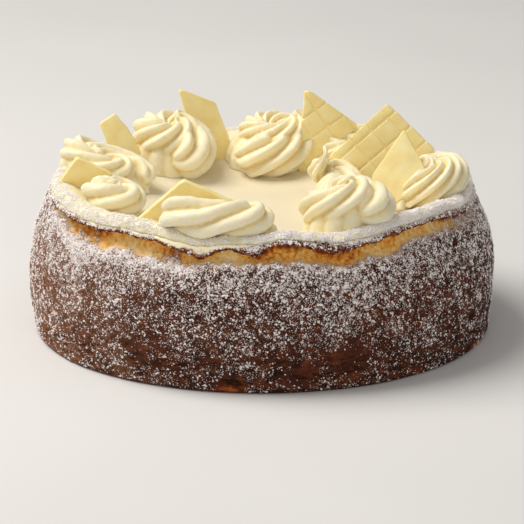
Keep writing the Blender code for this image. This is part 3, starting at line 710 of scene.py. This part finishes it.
def rope_faces():
    """The faces of a rope, with its two ends shut."""
    faces = []
    for i in range(ROPE_STEPS):
        row = i * ROPE_SIDES
        for j in range(ROPE_SIDES):
            k = (j + 1) % ROPE_SIDES
            faces.append((row + j, row + ROPE_SIDES + j, row + ROPE_SIDES + k, row + k))
    last = ROPE_STEPS * ROPE_SIDES
    faces.append(tuple(range(ROPE_SIDES)))
    faces.append(tuple(reversed(range(last, last + ROPE_SIDES))))
    return faces


def directions(angle):
    """Unit vectors out from the middle of the cake and round it, at an angle."""
    a = math.radians(angle)
    return Vector((math.cos(a), math.sin(a), 0)), Vector((-math.sin(a), math.cos(a), 0))


def rope(name, spec):
    """A rope of cream and the mound inside it, laid on the cream's surface, still to be fused."""
    _, angle, ring, along, across, thick, rise = spec[:7]
    radial, tangent = directions(angle)
    points, faces = rope_rings(spec), rope_faces()
    add_core(points, faces, ring * radial, (tangent * along, radial * across), thick + CORE_RISE * rise)
    on_cream = [(x, y, max(z, cream_height(*polar((x, y))) - SUNK)) for x, y, z in points]
    mesh = bpy.data.meshes.new(name)
    mesh.from_pydata([Vector(p) * MM for p in on_cream], [], faces)
    return placed(name, mesh)


def add_core(points, faces, middle, reach, height):
    """A mound with a fluted foot inside the coils, so that a swirl is solid to its middle."""
    start = len(points)
    for i in range(1, CORE_RINGS):
        slope = math.pi * i / CORE_RINGS
        for j in range(CORE_SIDES):
            t = math.tau * j / CORE_SIDES
            flute = 1 + FLUTE_DEPTH * abs(math.cos(FLUTES * t / 2))
            flat = (reach[0] * math.cos(t) + reach[1] * math.sin(t)) * CORE_WIDTH * flute * math.sin(slope)
            place = middle + flat
            place.z = cream_height(*polar(place)) - height * math.cos(slope)
            points.append(place)
    low, high = len(points), len(points) + 1
    last = start + (CORE_RINGS - 2) * CORE_SIDES
    centre = cream_height(*polar(middle))
    points += [(middle.x, middle.y, centre - height), (middle.x, middle.y, centre + height)]
    for j in range(CORE_SIDES):
        k = (j + 1) % CORE_SIDES
        faces.append((low, start + k, start + j))
        faces.append((high, last + j, last + k))
        for row in range(start, last, CORE_SIDES):
            faces.append((row + j, row + k, row + CORE_SIDES + k, row + CORE_SIDES + j))


def modify(obj, kind, **settings):
    modifier = obj.modifiers.new(kind.lower(), kind)
    for key, value in settings.items():
        setattr(modifier, key, value)


def applied(obj):
    """The object with its modifiers applied."""
    bpy.context.view_layer.update()
    graph = bpy.context.evaluated_depsgraph_get()
    mesh = bpy.data.meshes.new_from_object(obj.evaluated_get(graph))
    obj.modifiers.clear()
    obj.data = mesh
    return obj


def arrays(mesh):
    points = np.empty(len(mesh.vertices) * 3, np.float32)
    mesh.vertices.foreach_get("co", points)
    edges = np.empty(len(mesh.edges) * 2, np.int32)
    mesh.edges.foreach_get("vertices", edges)
    normals = np.empty(len(mesh.vertices) * 3, np.float32)
    mesh.vertex_normals.foreach_get("vector", normals)
    return points.reshape(-1, 3), edges.reshape(-1, 2), normals.reshape(-1, 3)


def neighbour_mean(values, edges, count):
    total = np.zeros_like(values)
    np.add.at(total, edges[:, 0], values[edges[:, 1]])
    np.add.at(total, edges[:, 1], values[edges[:, 0]])
    return total / (count[:, None] if values.ndim == 2 else count)


def hollows(mesh):
    """How deep in a groove each point lies, from 0 to 1, for the painted shade in the grooves."""
    points, edges, normals = arrays(mesh)
    count = np.bincount(edges.reshape(-1), minlength=len(points)).clip(1)
    smooth = points
    for _ in range(HOLLOW_ROUNDS):
        smooth = neighbour_mean(smooth, edges, count)
    depth = ((smooth - points) * normals).sum(axis=1)
    for _ in range(EVEN_ROUNDS):
        depth = neighbour_mean(depth, edges, count)
    return 0.5 + 0.5 * depth / np.percentile(np.abs(depth), DEEPEST)


def swirl(spec):
    """A piped swirl of cream, with its coils fused and its surface a little torn."""
    obj = rope(spec[0].replace("cream_", ""), spec)
    modify(obj, "REMESH", mode="VOXEL", voxel_size=SWIRL_VOXEL * MM)
    modify(obj, "SMOOTH", factor=SWIRL_RELAX, iterations=1)
    applied(obj)
    points, _, normals = arrays(obj.data)
    ripple = sum(high * noise_at(points / MM, *kind) for high, kind in SWIRL_RIPPLES)
    moved = points + normals * ripple[:, None] * MM
    obj.data.vertices.foreach_set("co", moved.astype(np.float32).reshape(-1))
    obj.data.update()
    obj.data.shade_smooth()
    # Depth in the grooves, which the cream's colour turns into painted shade
    store(obj, "groove", hollows(obj.data))
    outer = rising(np.linalg.norm(moved[:, :2], axis=1) / MM, *OUTER_DUST)
    right = rising(moved[:, 0] / MM, *RIGHT_DUST) * rising(normals[:, 0], *FACING_DUST)
    store(obj, "dust", np.maximum(OUTER_SHARE * outer, RIGHT_SHARE * right))
    return obj


def frame_of(foot, facing, lean):
    """The matrix that stands a plate on its foot: X across, Y up and Z out of its face."""
    ahead, across = directions(facing)
    lean = math.radians(lean)
    up = Vector((0, 0, 1)) * math.cos(lean) - ahead * math.sin(lean)
    rows = Matrix((across, up, across.cross(up)))
    return Matrix.Translation(Vector(foot) * MM) @ rows.transposed().to_4x4()


def uneven_outline(corners, seed):
    """The corners rounded off and joined by slightly rough broken edges."""
    rounded = []
    count = len(corners)
    for i, corner in enumerate(corners):
        here, before, after = Vector(corner), Vector(corners[i - 1]), Vector(corners[(i + 1) % count])
        cut = min(CORNER_CUT, CORNER_SHARE * (before - here).length, CORNER_SHARE * (after - here).length)
        ends = [here + (before - here).normalized() * cut, here + (after - here).normalized() * cut]
        rounded += [ends[0], (ends[0] + ends[1] + 2 * here) / 4, ends[1]]
    line = []
    for i, here in enumerate(rounded):
        after = rounded[(i + 1) % len(rounded)]
        parts = max(1, round((after - here).length / EDGE_PART))
        sideways = Vector((after.y - here.y, here.x - after.x)).normalized()
        for k in range(parts):
            point = here.lerp(after, k / parts)
            rough = noise.noise(Vector((point.x / EDGE_WAVE, point.y / EDGE_WAVE, seed)))
            line.append(point + sideways * EDGE_ROUGH * rough)
    return line


def plate(name, corners, seed):
    """A flat piece of chocolate with rough edges, its arrises worn round."""
    mesh = bmesh.new()
    half = CHOCOLATE / 2
    line = uneven_outline(corners, seed)
    lower = [mesh.verts.new(Vector((p.x, p.y, -half)) * MM) for p in line]
    upper = [mesh.verts.new(Vector((p.x, p.y, half)) * MM) for p in line]
    mesh.faces.new(lower)
    mesh.faces.new(upper)
    for i in range(len(line)):
        k = (i + 1) % len(line)
        mesh.faces.new((lower[i], lower[k], upper[k], upper[i]))
    bmesh.ops.recalc_face_normals(mesh, faces=mesh.faces)
    rims = [e for e in mesh.edges if abs(e.verts[0].co.z - e.verts[1].co.z) < UPRIGHT * MM]
    worn = {"offset": ARRIS * MM, "segments": ARRIS_PARTS, "profile": ARRIS_SHAPE, "affect": "EDGES"}
    bmesh.ops.bevel(mesh, geom=rims, clamp_overlap=True, **worn)
    data = bpy.data.meshes.new(name)
    mesh.to_mesh(data)
    mesh.free()
    return placed(name, data)


def grooves(turn, step, depth, reach):
    """Bars with a soft V section in a row, to press one way of the grid."""
    points, faces = [], []
    spin = Matrix.Rotation(math.radians(turn), 4, "Z")
    half, top = GROOVE_WIDTH / 2, CHOCOLATE / 2
    section = [(across * half, top + up * depth) for across, up in GROOVE_SECTION]
    sides = len(section)
    count = int(reach / step)
    for i in range(-count, count + 1):
        start = len(points)
        for end in (-reach, reach):
            points += [spin @ Vector((end, (i + 0.5) * step + y, z)) * MM for y, z in section]
        faces.append(tuple(start + k for k in reversed(range(sides))))
        faces.append(tuple(start + sides + k for k in range(sides)))
        for k in range(sides):
            m = (k + 1) % sides
            faces.append((start + k, start + m, start + sides + m, start + sides + k))
    mesh = bpy.data.meshes.new("grooves")
    mesh.from_pydata(points, [], faces)
    return placed("grooves", mesh)


def chocolate(spec):
    """A broken plate of white chocolate, with squares pressed in the face of some."""
    name, foot, facing, lean, corners, grid = spec
    obj = plate(name.replace("_piece", ""), corners, EDGE_SEED * facing)
    if grid:
        for turn, depth in ((grid[1], GROOVE_DEPTH), (grid[1] + 90, SECOND_GROOVE * GROOVE_DEPTH)):
            bars = grooves(turn, grid[0], depth, GROOVE_REACH)
            modify(obj, "BOOLEAN", operation="DIFFERENCE", solver="EXACT", object=bars)
            applied(obj)
            bpy.data.objects.remove(bars)
    modify(obj, "BEVEL", width=WORN * MM, segments=WORN_PARTS, angle_limit=math.radians(WORN_ANGLE))
    applied(obj)
    obj.data.transform(frame_of(foot, facing, lean))
    obj.data.shade_smooth()
    obj.data.set_sharp_from_angle(angle=math.radians(SHARP_ANGLE))
    return obj


class Nodes:
    """Short names for the nodes of one material."""

    def __init__(self, name):
        self.material = bpy.data.materials.new(name)
        self.material.use_nodes = True
        self.tree = self.material.node_tree
        self.shader = self.tree.nodes["Principled BSDF"]
        self.place = self.tree.nodes.new("ShaderNodeTexCoord").outputs["Object"]

    def put(self, value, socket):
        """Links another node's output to an input, or gives it a constant."""
        if isinstance(value, bpy.types.NodeSocket):
            self.tree.links.new(value, socket)
        else:
            socket.default_value = value

    def add(self, kind, **inputs):
        node = self.tree.nodes.new(kind)
        for key, value in inputs.items():
            self.put(value, node.inputs[key.replace("_", " ")])
        return node

    def noise(self, size, detail=3.0, rough=0.55):
        """Noise with lumps of about size millimetres."""
        scale = 1 / (size * MM)
        node = self.add("ShaderNodeTexNoise", Vector=self.place, Scale=scale, Detail=detail, Roughness=rough)
        return node.outputs["Fac"]

    def flat_noise(self, size, flat):
        """Noise in wide, low lumps, which makes creases that run round the cake."""
        place = self.add("ShaderNodeMapping", Vector=self.place, Scale=(1.0, 1.0, flat)).outputs["Vector"]
        return self.add("ShaderNodeTexNoise", Vector=place, Scale=1 / (size * MM), Detail=3.0).outputs["Fac"]

    def height(self):
        return self.add("ShaderNodeSeparateXYZ", Vector=self.place).outputs["Z"]

    def value(self, name):
        node = self.tree.nodes.new("ShaderNodeAttribute")
        node.attribute_name = name
        return node.outputs["Fac"]

    def math(self, operation, *values):
        node = self.tree.nodes.new("ShaderNodeMath")
        node.operation = operation
        for socket, value in zip(node.inputs, values):
            self.put(value, socket)
        return node.outputs[0]

    def times(self, first, second):
        return self.math("MULTIPLY", first, second)

    def step(self, value, low, high):
        """0 where value is under low, 1 over high, and smooth between."""
        node = self.tree.nodes.new("ShaderNodeMapRange")
        node.interpolation_type = "SMOOTHSTEP"
        for key, given in (("Value", value), ("From Min", low), ("From Max", high)):
            self.put(given, node.inputs[key])
        return node.outputs["Result"]

    def ramp(self, value, stops):
        node = self.add("ShaderNodeValToRGB", Fac=value)
        elements = node.color_ramp.elements
        elements[0].position, elements[0].color = stops[0][0], (*stops[0][1], 1)
        elements[1].position, elements[1].color = stops[-1][0], (*stops[-1][1], 1)
        for place, colour in stops[1:-1]:
            elements.new(place).color = (*colour, 1)
        return node.outputs["Color"]

    def mix(self, share, first, second):
        node = self.tree.nodes.new("ShaderNodeMix")
        node.data_type = "RGBA"
        for i, value in ((0, share), (6, first), (7, second)):
            self.put((*value, 1) if isinstance(value, tuple) else value, node.inputs[i])
        return node.outputs[2]

    def bump(self, height, deep, strength=1.0, under=None):
        node = self.add("ShaderNodeBump", Height=height, Distance=deep * MM, Strength=strength)
        if under is not None:
            self.put(under, node.inputs["Normal"])
        return node.outputs["Normal"]

    def finish(self, **inputs):
        for key, value in inputs.items():
            self.put(value, self.shader.inputs[key.replace("_", " ")])
        return self.material


def skin_colour(n):
    """The baked skin, lighter and warmer at the left by painted light, and dark in its finest pits."""
    colour = n.ramp(n.noise(8, 6, 0.65), SKIN)
    # Painted light: the skin lighter and warmer towards the left
    colour = n.mix(n.step(n.value("left_light_and_tone"), 0.0, 1.0), colour, PAINTED_LIT_SKIN)
    colour = n.mix(n.times(n.value("rubbed"), 0.5), colour, RUBBED_SKIN)
    colour = n.mix(n.value("orange"), colour, ORANGE_SKIN)
    pits = n.step(n.noise(1.5, 3), 0.46, 0.62)
    return n.mix(n.times(pits, 0.45), colour, SKIN_SPECKS)


def crust_colour(n):
    """The skin, with the crumb in the crack, its sugared ledge and its toasted lip."""
    skin = skin_colour(n)
    pores = n.times(n.math("SUBTRACT", n.noise(2.2, 5, 0.65), 0.5), 1.7)
    crumb = n.ramp(n.math("ADD", n.value("inside"), pores), CRUMB)
    toasted = n.ramp(n.noise(2.4, 4), TOASTED)
    colour = n.mix(n.step(n.value("torn"), 0.2, 0.7), skin, crumb)
    colour = n.mix(n.times(n.value("ledge"), 0.7), colour, LEDGE_CRUMB)
    return n.mix(n.step(n.value("toast"), 0.15, 0.9), colour, toasted)


def sugar_dust(n):
    """Where fine sugar lies, more of it where its share is larger, and the shade round it."""
    sugar = n.value("sugar")
    small = n.times(n.noise(0.75, 2.5, 0.65), 0.75)
    speck = n.math("ADD", small, n.times(n.noise(2.8, 2), 0.25))
    level = n.math("SUBTRACT", 0.695, n.times(sugar, 0.24))
    dust = n.step(speck, level, n.math("ADD", level, 0.03))
    dust = n.times(dust, n.step(sugar, 0.05, 0.3))
    near = n.step(speck, n.math("SUBTRACT", level, 0.12), level)
    return dust, n.times(near, n.step(sugar, 0.2, 0.7))


def low_creases(n):
    """Creases that run round the lowest part of the side."""
    low = n.math("SUBTRACT", 1.0, n.step(n.height(), 0.010, 0.034))
    filled = n.step(n.flat_noise(7.0, 3.5), 0.37, 0.47)
    return n.times(n.math("SUBTRACT", 1.0, filled), low)


def crust_material():
    n = Nodes("baked_crust")
    dust, shade = sugar_dust(n)
    colour = n.mix(n.times(shade, 0.75), crust_colour(n), SUGAR_SHADE)
    colour = n.mix(n.value("cover"), colour, CREAM_ON_LIP)
    colour = n.mix(n.times(dust, 0.92), colour, SUGAR)
    crease = low_creases(n)
    colour = n.mix(n.times(crease, 0.7), colour, CREASE_SHADE)
    normal = n.bump(n.math("SUBTRACT", 1.0, crease), 1.2, 0.9)
    normal = n.bump(n.noise(2.2, 5, 0.65), 0.5, 0.7, normal)
    normal = n.bump(dust, 0.25, 0.8, normal)
    return n.finish(Base_Color=colour, Roughness=0.8, Specular_IOR_Level=0.18, Normal=normal)


def sugar_material():
    n = Nodes("icing_sugar")
    colour = n.ramp(n.noise(5, 3), GRAINS)
    return n.finish(Base_Color=colour, Roughness=0.85, Specular_IOR_Level=0.3)


def cream_material():
    n = Nodes("whipped_cream")
    # Painted shade: the cream darker and yellower the deeper it lies in a groove
    colour = n.ramp(n.value("groove"), CREAM_WITH_GROOVE_SHADE)
    colour = n.mix(n.value("spread"), colour, SPREAD_CREAM)
    dust = n.value("dust")
    speck = n.noise(1.0, 2.5, 0.7)
    level = n.math("SUBTRACT", 0.72, n.times(dust, 0.25))
    powder = n.times(n.step(speck, level, n.math("ADD", level, 0.06)), n.step(dust, 0.02, 0.25))
    colour = n.mix(n.times(powder, 0.75), colour, CREAM_POWDER)
    normal = n.bump(n.noise(2.4, 4, 0.6), 0.16, 0.6)
    normal = n.bump(powder, 0.15, 0.6, normal)
    return n.finish(
        Base_Color=colour, Roughness=0.46, Normal=normal, Specular_IOR_Level=0.4,
        Subsurface_Weight=0.4, Subsurface_Radius=(1.0, 0.78, 0.46), Subsurface_Scale=0.0045,
    )


def chocolate_material():
    n = Nodes("white_chocolate")
    colour = n.ramp(n.noise(7, 4), WHITE_CHOCOLATE)
    normal = n.bump(n.noise(1.6, 4, 0.6), 0.10, 0.6)
    normal = n.bump(n.noise(6, 2), 0.25, 0.5, normal)
    return n.finish(
        Base_Color=colour, Roughness=0.42, Normal=normal, Specular_IOR_Level=0.45,
        Subsurface_Weight=0.2, Subsurface_Radius=(1.0, 0.75, 0.35), Subsurface_Scale=0.003,
    )


def floor_material():
    n = Nodes("floor")
    colour = n.ramp(n.noise(300, 2), FLOOR)
    return n.finish(Base_Color=colour, Roughness=0.7)


def give(obj, material):
    obj.data.materials.clear()
    obj.data.materials.append(material)


def area_light(name, place, size, power, colour):
    light = bpy.data.lights.new(name, "AREA")
    light.shape = "DISK"
    light.size = size
    light.energy = power
    light.color = colour
    obj = placed(name, light)
    obj.location = place
    obj.rotation_euler = (Vector(LIGHT_AIM) - Vector(place)).to_track_quat("-Z", "Y").to_euler()


def floor_mesh():
    corners = [(x * FLOOR_HALF, y * FLOOR_HALF, 0) for x, y in ((-1, -1), (1, -1), (1, 1), (-1, 1))]
    return mesh_object("floor", np.array(corners), np.array([[0, 1, 2, 3]]))


def studio():
    """A pale floor, soft light from the upper left and a little from behind, and the camera."""
    floor = floor_mesh()
    give(floor, floor_material())
    area_light(*KEY_LIGHT)
    area_light(*FILL_LIGHT)
    world = bpy.data.worlds.new("world")
    bpy.context.scene.world = world
    world.use_nodes = True
    world.node_tree.nodes["Background"].inputs["Color"].default_value = WORLD_COLOUR
    world.node_tree.nodes["Background"].inputs["Strength"].default_value = WORLD_STRENGTH
    add_camera()


def add_camera():
    camera = bpy.data.cameras.new("camera")
    camera.sensor_width = SENSOR
    camera.lens = FOCAL_PIXELS / PHOTO_PIXELS * SENSOR
    camera.clip_end = FAR
    obj = placed("camera", camera)
    rise = math.radians(CAMERA_RISE)
    obj.location = Vector(CAMERA_AIM) + Vector((0, -math.cos(rise), math.sin(rise))) * CAMERA_DISTANCE
    obj.rotation_euler = (math.pi / 2 - rise, 0, 0)
    bpy.context.scene.camera = obj
    bpy.context.scene.view_settings.view_transform = "Standard"


def gathered(points, clusters, gathering):
    """Noise that gathers grains in clusters, never under a least share."""
    middle, contrast, least = gathering
    return np.clip(middle + contrast * noise_at(points, *clusters), least, 1)


def dust_with_sugar(body, sugar, top, edge):
    """Grains of icing sugar on the side, the lip and the edge of the cream."""
    chance = np.random.default_rng(GRAIN_SEED)
    points = np.array([v.co[:] for v in body.data.vertices])[:-2].reshape(CRUST_AROUND, -1, 3) / MM
    radius = np.linalg.norm(points[:, :, :2], axis=2)
    weight = np.clip(sugar - SUGAR_LEAST, 0, 1) ** SUGAR_CURVE
    weight = weight * (points[:, :, 2] > SUGARED_ABOVE) * (radius > SUGARED_OUTSIDE)
    weight = weight * gathered(points, SIDE_CLUSTERS, SIDE_GATHERING)
    places, normals = surface_samples(points, weight, FINE_GRAINS, chance)
    fine = grains("sugar_fine", places, normals, TETRAHEDRON, *FINE_SIZES, chance)
    places, normals = surface_samples(points, weight**CLUMP_CURVE, CLUMPS, chance)
    clumps = grains("sugar_clumps", places, normals, OCTAHEDRON, *CLUMP_SIZES, chance)
    edge = edge * gathered(top, RIM_CLUSTERS, RIM_GATHERING)
    places, normals = surface_samples(top, edge, RIM_GRAINS, chance)
    rim = grains("sugar_rim", places, normals, OCTAHEDRON, *RIM_SIZES, chance)
    return fine, clumps, rim


def dress():
    """Every visible piece, with its material and the node that it replaces."""
    crust_look, cream_look = crust_material(), cream_material()
    chocolate_look, sugar_look = chocolate_material(), sugar_material()
    body, sugar = crust()
    give(body, crust_look)
    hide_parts("cake_body")
    top, top_points, edge = cream_top()
    give(top, cream_look)
    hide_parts("cream_layer")
    pieces = [body, top]
    for spec in SWIRLS:
        piece = swirl(spec)
        give(piece, cream_look)
        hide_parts(spec[0])
        pieces.append(piece)
    for spec in PIECES:
        piece = chocolate(spec)
        give(piece, chocolate_look)
        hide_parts(spec[0])
        pieces.append(piece)
    for piece in dust_with_sugar(body, sugar, top_points, edge):
        give(piece, sugar_look)
        pieces.append(piece)
    for piece in pieces:
        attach(piece, "root")


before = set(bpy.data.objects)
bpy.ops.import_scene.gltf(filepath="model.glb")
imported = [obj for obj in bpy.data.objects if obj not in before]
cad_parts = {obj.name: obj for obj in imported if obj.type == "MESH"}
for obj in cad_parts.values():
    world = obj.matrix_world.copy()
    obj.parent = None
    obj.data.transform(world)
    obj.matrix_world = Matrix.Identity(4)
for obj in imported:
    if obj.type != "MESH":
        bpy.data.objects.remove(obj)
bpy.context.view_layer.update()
studio()
dress()
